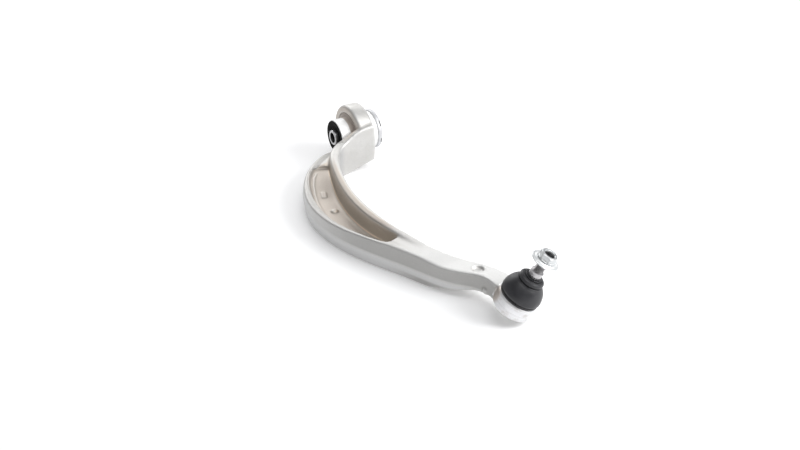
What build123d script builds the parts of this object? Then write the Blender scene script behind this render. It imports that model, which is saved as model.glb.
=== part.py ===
"""Curved lower control arm: forged arm with a hydraulic bush in its eye and an
inclined ball joint at its far end.

Frame: origin at the middle of the bush bore, +Y along the bush bolt axis,
+X towards the ball joint, +Z up when the arm lies flat. Millimetres.
"""
from build123d import *
from math import sin, cos, tan, radians, hypot
import os

os.makedirs("parts", exist_ok=True)

# ------------------------------------------------------------------ dimensions
# arm
Z_FLOOR = -34.8          # underside of the arm and of the eye
Z_PART_OUT = -20.0       # parting line on the outer, bulging side
Z_PART_IN = -4.0         # parting line on the inner, hollow side
Z_POCKET = -19.0         # floor of the upper pocket
Z_LOWER_POCKET = -27.0   # ceiling of the shallow pocket underneath
DRAFT = 5.0              # forging draft, degrees
EYE_R = 34.8             # outside of the bush eye
EYE_Y0, EYE_Y1 = -8.4, 11.4
EYE_BORE_R = 26.0
# bush
CAN_WALL = 1.8
NECK_L_R, NECK_R_R = 19.8, 22.0
CAN_Y0, CAN_Y1 = -25.0, 25.0
SLEEVE_BORE_R = 6.1
SLEEVE_R = 9.0
SLEEVE_HALF = 28.5
CORE_R = 12.5
GAP = 0.3                # between rubber and the parts that twist in it
# ball joint
BALL_C = (375.2, -24.9, -11.3)   # centre of the ball
LEAN = 28.0              # stud axis from vertical, degrees
LEAN_DIR = 51.0          # direction of the lean in plan, degrees from +X
BALL_R = 12.0
HOUSING_R = 20.2
HOUSING_LO, HOUSING_HI = -13.6, 1.5
SHELL_R = 15.0
THREAD_R = 4.9           # M10 x 1.5 thread on the stud
THREAD_PITCH = 1.5
NUT_AF = 16.0
NUT_LO = 50.6            # underside of the hex along the stud axis
WASHER_LO = 48.0
WASHER_R = 14.0

# ------------------------------------------------------------------ outlines
# outer (bulging) side of the arm at its parting line, from the eye to the ball joint
OUTER = [(24.0, -12.0), (23.5, -23.0), (20.0, -29.0), (15.2, -34.0), (13.6, -40.0), (15.4, -48.0), (20.5, -57.5),
         (27.5, -67.0), (36.0, -76.5), (47.0, -86.3), (60.5, -95.8), (77.0, -105.0), (97.0, -112.8),
         (117.0, -117.6), (137.0, -119.3), (157.0, -118.6), (175.0, -115.8), (193.0, -111.2), (210.0, -105.2),
         (227.0, -98.2), (244.0, -90.4), (260.0, -83.0), (276.0, -76.2), (291.0, -70.0), (303.0, -64.3),
         (313.0, -57.8), (321.5, -50.6), (329.5, -44.4), (338.0, -40.6), (348.0, -39.2), (358.0, -39.5)]
# inner (hollow) side at its parting line
INNER = [(35.4, 11.0), (35.4, 2.0), (35.4, -6.0), (35.4, -15.0), (36.0, -24.0), (38.8, -33.0), (45.5, -40.8), (56.0, -47.6),
         (70.0, -53.8), (86.0, -59.6), (103.0, -64.6), (120.0, -68.5), (137.0, -71.2), (155.0, -72.5),
         (175.0, -72.4), (195.0, -71.0), (213.0, -68.2), (232.0, -63.3), (250.0, -58.0), (263.0, -54.3),
         (276.0, -49.2), (287.0, -43.2), (297.0, -36.4), (306.0, -30.2), (315.5, -24.8), (326.0, -20.2),
         (338.0, -16.8), (350.0, -15.2), (360.0, -14.8)]
# pocket side of the tall inner wall, at the pocket floor
WALL = [(22.4, 11.0), (22.4, 2.0), (22.4, -6.0), (22.4, -15.0), (22.2, -24.0), (22.4, -32.0), (25.5, -40.5), (32.5, -48.6),
        (42.0, -55.2), (54.0, -60.8), (69.0, -66.4), (86.0, -71.6), (104.0, -76.6), (122.0, -80.6),
        (140.5, -83.7), (160.0, -85.2), (180.0, -84.8), (198.5, -82.6), (215.0, -78.6), (232.0, -73.5),
        (250.0, -68.0), (266.0, -62.5), (282.0, -56.0), (296.0, -49.0), (310.0, -42.0), (324.0, -36.0),
        (338.0, -31.5), (350.0, -29.5), (360.0, -29.0)]
# upper edge of the pocket on the outer side
POCKET_OUT = [(46.0, -79.0), (57.0, -87.8), (71.0, -95.2), (87.0, -101.4), (103.0, -106.0), (120.0, -109.2),
              (138.0, -111.2), (157.0, -111.2), (175.0, -108.9), (193.0, -104.8), (208.0, -100.0), (219.0, -95.8),
              (228.0, -91.4)]


def shifted(points, amount):
    """Move a run of points sideways, to the left of its direction, by amount."""
    out = []
    n = len(points)
    for i in range(n):
        x0, y0 = points[max(i - 1, 0)]
        x1, y1 = points[min(i + 1, n - 1)]
        length = hypot(x1 - x0, y1 - y0)
        tx, ty = (x1 - x0) / length, (y1 - y0) / length
        out.append((points[i][0] - ty * amount, points[i][1] + tx * amount))
    return out


def draft(height):
    return height * tan(radians(DRAFT))


def try_fillet(builder, edges, radius):
    """Round the edges if the kernel can; the sharp edge stays if it can't."""
    edges = [e for e in edges]
    if not edges:
        return False
    try:
        fillet(edges, radius=radius)
        return True
    except Exception:
        return False


# ------------------------------------------------------------------ arm: low body
with BuildPart() as body:
    for z_end in (Z_FLOOR, 2.0):
        inset = draft(abs(z_end - Z_PART_OUT))
        with BuildSketch(Plane.XY.offset(Z_PART_OUT)) as s_mid:
            with BuildLine():
                o = Spline(*OUTER)
                i = Spline(*shifted(INNER, -5.0)[::-1])
                Line(o @ 1, i @ 0)
                Line(i @ 1, o @ 0)
            make_face()
        with BuildSketch(Plane.XY.offset(z_end)) as s_end:
            with BuildLine():
                o = Spline(*shifted(OUTER, inset))
                i = Spline(*shifted(INNER, -5.2)[::-1])
                Line(o @ 1, i @ 0)
                Line(i @ 1, o @ 0)
            make_face()
        loft(ruled=True)
    # top of the low body, seen from the side
    with BuildSketch(Plane.XZ) as s_top:
        with BuildLine():
            Polyline((-40, 60), (-40, -9.0), (130, -9.0), (165, -8.0), (205, -5.5), (240, -3.6), (276, -3.8),
                     (300, -6.0), (320, -5.4), (336, -4.2), (350, -3.4), (420, -3.4), (420, 60), close=True)
        make_face()
    extrude(amount=200, both=True, mode=Mode.SUBTRACT)
    # upper pocket, wider at its mouth than at its floor
    for z, grow in ((Z_POCKET, -2.4), (2.0, 1.0)):
        with BuildSketch(Plane.XY.offset(z)) as s_pocket:
            with BuildLine():
                lo = Spline(*shifted(POCKET_OUT, -grow))
                r1 = Spline((lo @ 1), (235.6 + grow, -85.0), (233.0 + grow, -76.5), (222.0, -69.0),
                            tangents=[(lo % 1), (-10, 4)])
                hi = Spline((222.0, -69.0), (180.0, -76.5), (140.0, -76.0), (100.0, -69.0), (72.0, -60.0), (56.0, -54.0),
                            tangents=[(-10, -3), (-10, 4.5)])
                Spline((56.0, -54.0), (43.0 - grow * 0.6, -63.0), (41.0 - grow, -72.0), (lo @ 0),
                       tangents=[(-10, -4), (lo % 0)])
            make_face()
    loft(ruled=True, mode=Mode.SUBTRACT)

# ------------------------------------------------------------------ arm: tall inner wall
with BuildPart() as wall:
    for z_end in (Z_FLOOR, 24.0):
        inset = draft(abs(z_end - Z_PART_IN))
        side = draft(z_end - Z_POCKET) if z_end > 0 else 0.0
        with BuildSketch(Plane.XY.offset(Z_PART_IN)) as w_mid:
            with BuildLine():
                a = Spline(*INNER)
                b = Spline(*shifted(WALL, draft(Z_PART_IN - Z_POCKET))[::-1])
                Line(a @ 1, b @ 0)
                Line(b @ 1, a @ 0)
            make_face()
        with BuildSketch(Plane.XY.offset(z_end)) as w_end:
            with BuildLine():
                a = Spline(*shifted(INNER, -inset))
                b = Spline(*shifted(WALL, side)[::-1])
                Line(a @ 1, b @ 0)
                Line(b @ 1, a @ 0)
            make_face()
        loft(ruled=True)
    # crest of the wall: falls away from the eye, then runs level
    with BuildSketch(Plane.YZ) as s_crest:
        with BuildLine():
            c = Spline((14, 20.4), (4, 20.0), (-9, 17.6), (-20, 12.8), (-30, 7.6), (-40, 4.2), (-50, 3.0),
                       tangents=[(-1, 0), (-1, 0)])
            Polyline((-50, 3.0), (-160, 3.0), (-160, 80), (14, 80), (14, 20.4))
        make_face()
    extrude(amount=230, mode=Mode.SUBTRACT)
    with BuildSketch(Plane.XZ) as s_crest2:
        with BuildLine():
            Polyline((-40, 90), (-40, 60), (60, 60), (62, 3.0), (150, 3.0), (200, 1.2), (235, -1.0), (262, -3.6), (276, -3.8),
                     (300, -6.0), (320, -5.4), (336, -4.2), (350, -3.4), (420, -3.4), (420, 90), close=True)
        make_face()
    extrude(amount=200, both=True, mode=Mode.SUBTRACT)

# ------------------------------------------------------------------ ball joint frame
AX = Vector(sin(radians(LEAN)) * cos(radians(LEAN_DIR)), sin(radians(LEAN)) * sin(radians(LEAN_DIR)),
            cos(radians(LEAN)))
SIDE = Vector(-sin(radians(LEAN_DIR)), cos(radians(LEAN_DIR)), 0)
BC = Vector(*BALL_C)
STUD_AXIS = Axis(BC, AX)
# sketch plane through the stud axis: local X is the radius, local Y runs up the stud
STUD_PLANE = Plane(origin=BC, x_dir=SIDE, z_dir=SIDE.cross(AX))


def stud_level(height):
    """Plane square to the stud axis at a height above the ball centre."""
    return Plane(origin=BC + AX * height, x_dir=SIDE, z_dir=AX)


# ------------------------------------------------------------------ arm: one forging
with BuildPart() as arm_forging:
    add(body.part)
    add(wall.part)
    # the lower edge of the wall climbs towards the end of the eye
    with BuildSketch(Plane.YZ.offset(12.0)) as s_heel:
        with BuildLine():
            Polyline((20, -21.0), (-24, -34.6), (-24, -60), (20, -60), close=True)
        make_face()
    extrude(amount=60, mode=Mode.SUBTRACT)
    # underside rises towards the ball joint
    with BuildSketch(Plane.XZ) as s_under:
        with BuildLine():
            Polyline((280, -36.0), (288, -34.4), (303, -31.2), (316, -27.6), (330, -23.6), (346, -21.4), (420, -21.4), (420, -60),
                     (280, -60), close=True)
        make_face()
    extrude(amount=200, both=True, mode=Mode.SUBTRACT)
    # shallow pocket in the underside
    for z, grow in ((Z_FLOOR - 1.0, 0.8), (Z_LOWER_POCKET, -0.6)):
        with BuildSketch(Plane.XY.offset(z)) as s_low:
            with BuildLine():
                q = Spline(*shifted(OUTER, 9.5 - grow)[8:23])
                p = Spline(*shifted(INNER, -9.5 + grow)[8:19][::-1])
                Line(q @ 1, p @ 0)
                Line(p @ 1, q @ 0)
            make_face()
    loft(ruled=True, mode=Mode.SUBTRACT)
    # eye ring
    with BuildSketch(Plane.XY) as s_eye:
        with BuildLine():
            Polyline((0, EYE_Y0), (EYE_R - 4.0, EYE_Y0))
            RadiusArc((EYE_R - 4.0, EYE_Y0), (EYE_R, EYE_Y0 + 4.0), -4.0)
            Line((EYE_R, EYE_Y0 + 4.0), (EYE_R, EYE_Y1 - 2.4))
            RadiusArc((EYE_R, EYE_Y1 - 2.4), (EYE_R - 2.4, EYE_Y1), -2.4)
            Polyline((EYE_R - 2.4, EYE_Y1), (0, EYE_Y1), (0, EYE_Y0))
        make_face()
    revolve(axis=Axis.Y)
    # clearance round the boot where the tongue runs up to the housing
    with BuildSketch(STUD_PLANE) as s_clear:
        with BuildLine():
            Polyline((0, HOUSING_HI), (20.9, HOUSING_HI), (22.4, HOUSING_HI + 6.0), (22.4, 40), (0, 40), close=True)
        make_face()
    revolve(axis=STUD_AXIS, mode=Mode.SUBTRACT)
    # ball-joint housing
    with BuildSketch(STUD_PLANE) as s_house:
        with BuildLine():
            Polyline((0, HOUSING_LO), (HOUSING_R - 1.2, HOUSING_LO), (HOUSING_R, HOUSING_LO + 1.2),
                     (HOUSING_R, HOUSING_HI - 0.8), (HOUSING_R - 0.8, HOUSING_HI), (17.3, HOUSING_HI),
                     (16.4, HOUSING_HI + 0.5), (16.4, 4.8), (17.3, 5.4), (17.3, 8.2), (16.5, 9.0), (0, 9.0), close=True)
        make_face()
    revolve(axis=STUD_AXIS)
    # bores: bush eye, shell seat, cap seat and stud opening
    with BuildSketch(Plane.XZ.offset(-14)) as s_bore:
        Circle(EYE_BORE_R)
    extrude(amount=14 - EYE_Y0, mode=Mode.SUBTRACT)
    with BuildSketch(STUD_PLANE) as s_seat:
        with BuildLine():
            Polyline((0, -30), (17.2, -30), (17.2, -12.2), (SHELL_R, -12.2), (SHELL_R, 6.8), (11.2, 6.8),
                     (12.4, 12.0), (0, 12.0), close=True)
        make_face()
    revolve(axis=STUD_AXIS, mode=Mode.SUBTRACT)
    # round dimple in the flat top near the ball joint, and a raised pip in the pocket
    with BuildSketch(Plane.XY.offset(-7.4)) as s_dimple:
        with Locations((321.5, -34.3)):
            Circle(5.6)
    extrude(amount=8, taper=-25, mode=Mode.SUBTRACT)
    with BuildSketch(Plane.XY.offset(Z_POCKET - 0.5)) as s_pip:
        with Locations((130.0, -93.0)):
            Circle(3.4)
    extrude(amount=1.5, taper=12)
    with BuildSketch(Plane.XY.offset(Z_POCKET - 0.8)) as s_pad:
        with Locations((93.0, -87.0)):
            SlotOverall(11.0, 6.0, rotation=-20)
    extrude(amount=1.4, taper=12)
arm_forging.part.label = "arm_forging"
print("arm solids", len(arm_forging.part.solids()), "volume", arm_forging.part.volume)
export_step(arm_forging.part, "parts/arm_forging.step")


def lathe_y(profile):
    """Closed profile of (radius, y) points turned round the bush axis."""
    with BuildPart() as turned:
        with BuildSketch(Plane.XY):
            with BuildLine():
                Polyline(*profile, close=True)
            make_face()
        revolve(axis=Axis.Y)
    return turned.part


# ------------------------------------------------------------------ bush: can
with BuildPart() as bush_can:
    with BuildSketch(Plane.XY):
        with BuildLine():
            Polyline((18.2, CAN_Y0 + 0.6), (18.7, CAN_Y0), (19.4, CAN_Y0), (NECK_L_R, CAN_Y0 + 0.4), (NECK_L_R, -12.4),
                     (20.2, -11.2), (21.0, -10.0), (21.9, -8.6), (25.2, -8.2), (EYE_BORE_R, -7.4), (EYE_BORE_R, 10.6), (24.6, 12.0), (NECK_R_R, 12.0),
                     (NECK_R_R, CAN_Y1 - 0.2), (20.2, CAN_Y1 - 0.2), (20.2, 10.2), (24.2, 10.2), (24.2, -5.2),
                     (18.2, -5.2), close=True)
        make_face()
    revolve(axis=Axis.Y)
bush_can.part.label = "bush_can"
export_step(bush_can.part, "parts/bush_can.step")

with BuildPart() as bush_flange_ring:
    with BuildSketch(Plane.XY):
        with BuildLine():
            Polyline((NECK_R_R, 21.8), (23.0, 21.8), (23.3, 22.2), (23.3, CAN_Y1), (22.9, CAN_Y1 + 0.4), (20.4, CAN_Y1 + 0.4),
                     (20.4, CAN_Y1 - 0.2), (NECK_R_R, CAN_Y1 - 0.2), close=True)
        make_face()
    revolve(axis=Axis.Y)
    # two small assembly notches in the rim
    with BuildSketch(Plane.XZ.offset(-CAN_Y1 - 0.6)):
        with PolarLocations(23.6, 2, start_angle=-28, angular_range=360):
            Rectangle(1.2, 3.0)
    extrude(amount=1.6, mode=Mode.SUBTRACT)
bush_flange_ring.part.label = "bush_flange_ring"
export_step(bush_flange_ring.part, "parts/bush_flange_ring.step")

# ------------------------------------------------------------------ bush: parts that twist with the bolt
with BuildPart() as bush_inner_sleeve:
    with BuildSketch(Plane.XY):
        with BuildLine():
            Polyline((SLEEVE_BORE_R, -SLEEVE_HALF + 0.5), (SLEEVE_BORE_R + 0.5, -SLEEVE_HALF), (SLEEVE_R - 0.6, -SLEEVE_HALF),
                     (SLEEVE_R, -SLEEVE_HALF + 0.6), (SLEEVE_R, SLEEVE_HALF - 0.6), (SLEEVE_R - 0.6, SLEEVE_HALF),
                     (SLEEVE_BORE_R + 0.5, SLEEVE_HALF), (SLEEVE_BORE_R, SLEEVE_HALF - 0.5), close=True)
        make_face()
    revolve(axis=Axis.Y)
    # locking ribs pressed into both end faces
    for y_end in (-SLEEVE_HALF, SLEEVE_HALF):
        with BuildSketch(Plane.XZ.offset(-y_end)):
            with PolarLocations(7.6, 24):
                Rectangle(2.0, 0.35)
        extrude(amount=0.25, both=True, mode=Mode.SUBTRACT)
bush_inner_sleeve.part.label = "bush_inner_sleeve"
export_step(bush_inner_sleeve.part, "parts/bush_inner_sleeve.step")

with BuildPart() as bush_inner_core:
    with BuildSketch(Plane.XY):
        with BuildLine():
            Polyline((SLEEVE_R, -14.0), (10.6, -14.0), (CORE_R, -9.0), (CORE_R, 12.0), (10.6, 17.0), (SLEEVE_R, 17.0),
                     close=True)
        make_face()
    revolve(axis=Axis.Y)
bush_inner_core.part.label = "bush_inner_core"
export_step(bush_inner_core.part, "parts/bush_inner_core.step")

# ------------------------------------------------------------------ bush: rubber and hydraulic parts
with BuildPart() as bush_rubber_body:
    with BuildSketch(Plane.XY):
        with BuildLine():
            Polyline((SLEEVE_R + GAP, -24.2), (10.6, -24.2), (11.0, -23.4), (12.4, -23.4), (12.9, -24.4), (17.6, -24.4),
                     (18.2, -23.8), (18.2, -5.2), (20.4, -5.2), (20.4, 10.2), (20.2, 10.2), (20.2, 23.8), (19.6, 24.4),
                     (14.0, 24.4), (13.4, 23.4), (11.4, 23.4), (11.0, 24.2), (SLEEVE_R + GAP, 24.2),
                     (SLEEVE_R + GAP, 17.0 + GAP), (10.6 + GAP, 17.0 + GAP), (CORE_R + GAP, 12.0 + GAP),
                     (CORE_R + GAP, -9.0 - GAP), (10.6 + GAP, -14.0 - GAP), (SLEEVE_R + GAP, -14.0 - GAP), close=True)
        make_face()
    revolve(axis=Axis.Y)
    # fluid chambers above and below the core
    with BuildSketch(Plane.XY.offset(14.6)):
        with Locations((0, 2.5)):
            Rectangle(20.0, 10.0)
    extrude(amount=8, mode=Mode.SUBTRACT)
    with BuildSketch(Plane.XY.offset(-14.6)):
        with Locations((0, 2.5)):
            Rectangle(20.0, 10.0)
    extrude(amount=-8, mode=Mode.SUBTRACT)
bush_rubber_body.part.label = "bush_rubber_body"
export_step(bush_rubber_body.part, "parts/bush_rubber_body.step")

with BuildPart() as bush_cage:
    with BuildSketch(Plane.XY):
        with BuildLine():
            Polyline((20.4, -5.2), (21.2, -5.2), (21.2, 10.2), (20.4, 10.2), close=True)
        make_face()
    revolve(axis=Axis.Y)
    with BuildSketch(Plane.XY):
        with Locations((0, 2.5)):
            Rectangle(19.0, 9.4)
    extrude(amount=30, both=True, mode=Mode.SUBTRACT)
bush_cage.part.label = "bush_cage"
export_step(bush_cage.part, "parts/bush_cage.step")

channel_shells = []
for name, sign in (("channel_shell_upper", 1), ("channel_shell_lower", -1)):
    with BuildPart() as shell_half:
        with BuildSketch(Plane.XY):
            with BuildLine():
                Polyline((21.2, -3.4), (24.2, -3.4), (24.2, 0.6), (22.6, 0.6), (22.6, 4.4), (24.2, 4.4), (24.2, 8.4), (21.2, 8.4),
                         close=True)
            make_face()
        revolve(axis=Axis.Y)
        with BuildSketch(Plane.XZ.offset(-20)):
            with Locations((0, -sign * 20.0)):
                Rectangle(80, 40.0 + 0.4)
        extrude(amount=40, mode=Mode.SUBTRACT)
        # fluid port
        with BuildSketch(Plane.XY):
            with Locations((6.0, 2.5)):
                Circle(1.6)
        extrude(amount=sign * 30, mode=Mode.SUBTRACT)
    shell_half.part.label = name
    export_step(shell_half.part, "parts/" + name + ".step")

for name, y0 in (("chamber_seal_left", -5.2), ("chamber_seal_right", 8.4)):
    with BuildPart() as seal:
        with BuildSketch(Plane.XY):
            with BuildLine():
                Polyline((21.2, y0), (24.2, y0), (24.2, y0 + 1.8), (21.2, y0 + 1.8), close=True)
            make_face()
        revolve(axis=Axis.Y)
    seal.part.label = name
    export_step(seal.part, "parts/" + name + ".step")

for name, sign in (("travel_stop_upper", 1), ("travel_stop_lower", -1)):
    with BuildPart() as stop:
        with BuildSketch(Plane.XY.offset(sign * 17.4)):
            with Locations((-3.0, 2.5)):
                RectangleRounded(9.0, 6.0, 1.4)
        extrude(amount=sign * 2.2, taper=6)
    stop.part.label = name
    export_step(stop.part, "parts/" + name + ".step")

# ------------------------------------------------------------------ ball joint
with BuildPart() as ball_stud:
    with BuildSketch(STUD_PLANE):
        with BuildLine():
            z_cut = -9.6
            r_cut = (BALL_R ** 2 - z_cut ** 2) ** 0.5
            z_neck = (BALL_R ** 2 - 6.2 ** 2) ** 0.5
            Line((0, z_cut), (r_cut, z_cut))
            ThreePointArc((r_cut, z_cut), (BALL_R, 0), (6.2, z_neck))
            pts = [(6.2, z_neck), (6.2, 14.0), (6.4, 16.0), (6.4, 28.5), (6.1, 34.4), (6.45, 34.6), (6.45, 35.6), (6.0, 36.0),
                   (4.2, 36.2), (4.2, 36.8)]
            Polyline(*pts)
            # thread as a stack of ridges at the true pitch
            ridge = []
            z = 36.8
            while z < 52.6:
                ridge += [(4.2, z), (THREAD_R, z + 0.45), (THREAD_R, z + 0.85), (4.2, z + 1.3)]
                z += THREAD_PITCH
            Polyline(*ridge)
            last = ridge[-1]
            Polyline(last, (4.2, last[1] + 0.4), (0, last[1] + 0.4), (0, z_cut))
        make_face()
    revolve(axis=STUD_AXIS)
    # short flutes at the root of the shank
    with BuildSketch(stud_level(25.5)):
        with PolarLocations(6.6, 16):
            Rectangle(1.0, 0.9)
    extrude(amount=5.6, mode=Mode.SUBTRACT)
    # drive socket in the tip
    with BuildSketch(stud_level(54.6)):
        RegularPolygon(2.3, 6)
    extrude(amount=-4.2, mode=Mode.SUBTRACT)
ball_stud.part.label = "ball_stud"
print("stud tip", last, "solids", len(ball_stud.part.solids()))
export_step(ball_stud.part, "parts/ball_stud.step")

with BuildPart() as bearing_shell:
    with BuildSketch(STUD_PLANE):
        with BuildLine():
            r_in = BALL_R + 0.2
            z_top, z_bot = 6.2, -11.4
            rt = (r_in ** 2 - z_top ** 2) ** 0.5
            rb = (r_in ** 2 - z_bot ** 2) ** 0.5
            Polyline((rb, z_bot), (SHELL_R, z_bot), (SHELL_R, 6.8), (rt + 0.6, 6.8), (rt, z_top))
            ThreePointArc((rt, z_top), (r_in, 0), (rb, z_bot))
        make_face()
    revolve(axis=STUD_AXIS)
bearing_shell.part.label = "bearing_shell"
export_step(bearing_shell.part, "parts/bearing_shell.step")

with BuildPart() as preload_ring:
    with BuildSketch(STUD_PLANE):
        with BuildLine():
            Polyline((9.0, -11.4), (14.6, -11.4), (14.6, -12.2), (9.0, -12.2), close=True)
        make_face()
    revolve(axis=STUD_AXIS)
preload_ring.part.label = "preload_ring"
export_step(preload_ring.part, "parts/preload_ring.step")

with BuildPart() as closing_cap:
    with BuildSketch(STUD_PLANE):
        with BuildLine():
            Polyline((0, -12.2), (17.2, -12.2), (17.2, -13.4), (12.0, -13.4), (10.5, -13.0), (0, -13.0), close=True)
        make_face()
    revolve(axis=STUD_AXIS)
closing_cap.part.label = "closing_cap"
export_step(closing_cap.part, "parts/closing_cap.step")

with BuildPart() as dust_boot:
    with BuildSketch(STUD_PLANE):
        with BuildLine():
            Polyline((16.4, HOUSING_HI + 1.0), (19.4, HOUSING_HI + 0.2), (19.4, 2.2), (18.5, 2.4), (18.5, 4.4), (19.3, 4.6))
            Spline((19.3, 4.6), (20.0, 7.4), (19.6, 11.0), (18.2, 14.6), (15.6, 18.2), (12.4, 20.8), (11.0, 21.6))
            Polyline((11.0, 21.6), (10.6, 22.0), (10.6, 23.0), (11.2, 23.4), (11.0, 26.4), (10.2, 27.5), (8.5, 27.8), (8.5, 21.0),
                     (9.0, 20.0))
            Spline((9.0, 20.0), (12.6, 17.4), (15.6, 14.2), (17.4, 10.8), (18.1, 8.6), (17.9, 6.4), (17.7, 5.3))
            Polyline((17.7, 5.3), (17.5, 5.2), (16.4, 4.4), (16.4, HOUSING_HI + 1.0))
        make_face()
    revolve(axis=STUD_AXIS)
dust_boot.part.label = "dust_boot"
export_step(dust_boot.part, "parts/dust_boot.step")

with BuildPart() as boot_base_ring:
    with BuildSketch(STUD_PLANE):
        with BuildLine():
            Polyline((18.5, 2.4), (19.7, 2.6), (19.7, 4.2), (18.5, 4.4), close=True)
        make_face()
    revolve(axis=STUD_AXIS)
boot_base_ring.part.label = "boot_base_ring"
export_step(boot_base_ring.part, "parts/boot_base_ring.step")

with BuildPart() as boot_neck_ring:
    with BuildSketch(STUD_PLANE):
        with BuildLine():
            Polyline((10.8, 22.15), (11.3, 22.05), (11.5, 22.4), (11.5, 22.8), (11.3, 23.0), (10.8, 22.95), close=True)
        make_face()
    revolve(axis=STUD_AXIS)
boot_neck_ring.part.label = "boot_neck_ring"
export_step(boot_neck_ring.part, "parts/boot_neck_ring.step")

with BuildPart() as boot_slide_ring:
    with BuildSketch(STUD_PLANE):
        with BuildLine():
            Polyline((6.6, 20.6), (8.2, 20.6), (8.2, 27.9), (8.7, 28.1), (8.7, 28.6), (7.4, 28.8), (6.6, 28.4), close=True)
        make_face()
    revolve(axis=STUD_AXIS)
boot_slide_ring.part.label = "boot_slide_ring"
export_step(boot_slide_ring.part, "parts/boot_slide_ring.step")

# ------------------------------------------------------------------ nut and captive washer
with BuildPart() as nut_washer:
    with BuildSketch(STUD_PLANE):
        with BuildLine():
            Polyline((5.4, WASHER_LO), (11.0, WASHER_LO), (WASHER_R - 0.4, WASHER_LO - 0.2), (WASHER_R, WASHER_LO + 0.3),
                     (WASHER_R, WASHER_LO + 0.9), (WASHER_R - 0.5, WASHER_LO + 1.4), (9.6, NUT_LO - 0.2), (5.4, NUT_LO - 0.2),
                     close=True)
        make_face()
    revolve(axis=STUD_AXIS)
nut_washer.part.label = "nut_washer"
export_step(nut_washer.part, "parts/nut_washer.step")

with BuildPart() as collar_nut:
    with BuildSketch(stud_level(NUT_LO)):
        RegularPolygon(NUT_AF / 2, 6, major_radius=False, rotation=12)
    extrude(amount=6.8)
    # rounded hex corners top, turned collar below
    with BuildSketch(STUD_PLANE):
        with BuildLine():
            Polyline((0, NUT_LO - 1), (12, NUT_LO - 1), (12, NUT_LO + 4.9), (9.4, NUT_LO + 5.6), (7.6, NUT_LO + 6.8),
                     (0, NUT_LO + 6.8), close=True)
        make_face()
    revolve(axis=STUD_AXIS, mode=Mode.INTERSECT)
    with BuildSketch(STUD_PLANE):
        with BuildLine():
            Polyline((0, NUT_LO), (9.0, NUT_LO), (9.0, NUT_LO + 0.9), (0, NUT_LO + 0.9), close=True)
        make_face()
    revolve(axis=STUD_AXIS)
    with BuildSketch(STUD_PLANE):
        with BuildLine():
            Polyline((0, NUT_LO - 2), (5.8, NUT_LO - 2), (5.8, NUT_LO), (4.98, NUT_LO + 0.8), (4.98, NUT_LO + 6.0),
                     (5.6, NUT_LO + 7.0), (0, NUT_LO + 7.0), close=True)
        make_face()
    revolve(axis=STUD_AXIS, mode=Mode.SUBTRACT)
collar_nut.part.label = "collar_nut"
export_step(collar_nut.part, "parts/collar_nut.step")
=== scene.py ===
"""Looks for the curved control arm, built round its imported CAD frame. Metres, same frame as the CAD."""
import math

import bmesh
import bpy
import numpy as np
from mathutils import Matrix, Vector


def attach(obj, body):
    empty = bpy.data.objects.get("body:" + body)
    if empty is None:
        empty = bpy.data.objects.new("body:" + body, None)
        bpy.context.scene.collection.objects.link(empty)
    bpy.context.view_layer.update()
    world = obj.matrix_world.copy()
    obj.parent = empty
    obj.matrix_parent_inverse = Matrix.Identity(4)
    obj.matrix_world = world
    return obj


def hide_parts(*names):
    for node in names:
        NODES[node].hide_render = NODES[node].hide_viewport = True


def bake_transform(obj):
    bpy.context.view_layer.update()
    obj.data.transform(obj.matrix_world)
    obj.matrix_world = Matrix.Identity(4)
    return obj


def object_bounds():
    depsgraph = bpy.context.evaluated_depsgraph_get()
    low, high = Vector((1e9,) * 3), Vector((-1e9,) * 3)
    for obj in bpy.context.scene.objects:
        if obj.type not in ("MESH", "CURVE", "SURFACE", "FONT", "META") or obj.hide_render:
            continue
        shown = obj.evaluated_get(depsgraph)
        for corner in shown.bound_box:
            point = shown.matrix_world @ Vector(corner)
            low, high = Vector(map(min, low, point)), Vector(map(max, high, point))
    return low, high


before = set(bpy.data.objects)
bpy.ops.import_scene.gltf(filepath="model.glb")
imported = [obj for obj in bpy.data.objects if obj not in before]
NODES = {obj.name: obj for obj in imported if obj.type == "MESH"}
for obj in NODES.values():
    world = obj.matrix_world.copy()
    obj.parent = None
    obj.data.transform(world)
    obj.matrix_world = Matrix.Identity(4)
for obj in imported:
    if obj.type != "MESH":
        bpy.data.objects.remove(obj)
cad_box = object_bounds()
MM = 0.001

# ------------------------------------------------------------------ camera first
cam_data = bpy.data.cameras.new("view_camera")
cam = bpy.data.objects.new("view_camera", cam_data)
bpy.context.scene.collection.objects.link(cam)
cam_data.sensor_width = 36.0
cam_data.lens = 1116.0 / 800.0 * 36.0
cam_data.clip_start = 0.01
cam_data.clip_end = 50
az, el = math.radians(60), math.radians(30)
back = Vector((math.sin(az) * math.cos(el), -math.cos(az) * math.cos(el), math.sin(el)))
right = Vector((math.cos(az), math.sin(az), 0))
up = back.cross(right)
rot = Matrix((right, up, back)).transposed().to_4x4()
cam.matrix_world = Matrix.Translation(Vector((1.0758, -0.5571, 0.5712))) @ rot
bpy.context.scene.camera = cam

# ------------------------------------------------------------------ frames of the two joints
LEAN, LEAN_DIR = math.radians(28.0), math.radians(51.0)
AX = Vector((math.sin(LEAN) * math.cos(LEAN_DIR), math.sin(LEAN) * math.sin(LEAN_DIR), math.cos(LEAN)))
SIDE = Vector((-math.sin(LEAN_DIR), math.cos(LEAN_DIR), 0))
BC = Vector((375.2, -24.9, -11.3))
STUD = (BC, SIDE, AX.cross(SIDE), AX)
BUSH = (Vector((0, 0, 0)), Vector((1, 0, 0)), Vector((0, 0, 1)), Vector((0, 1, 0)))


# ------------------------------------------------------------------ mesh helpers
def link(obj):
    bpy.context.scene.collection.objects.link(obj)
    return obj


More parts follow.
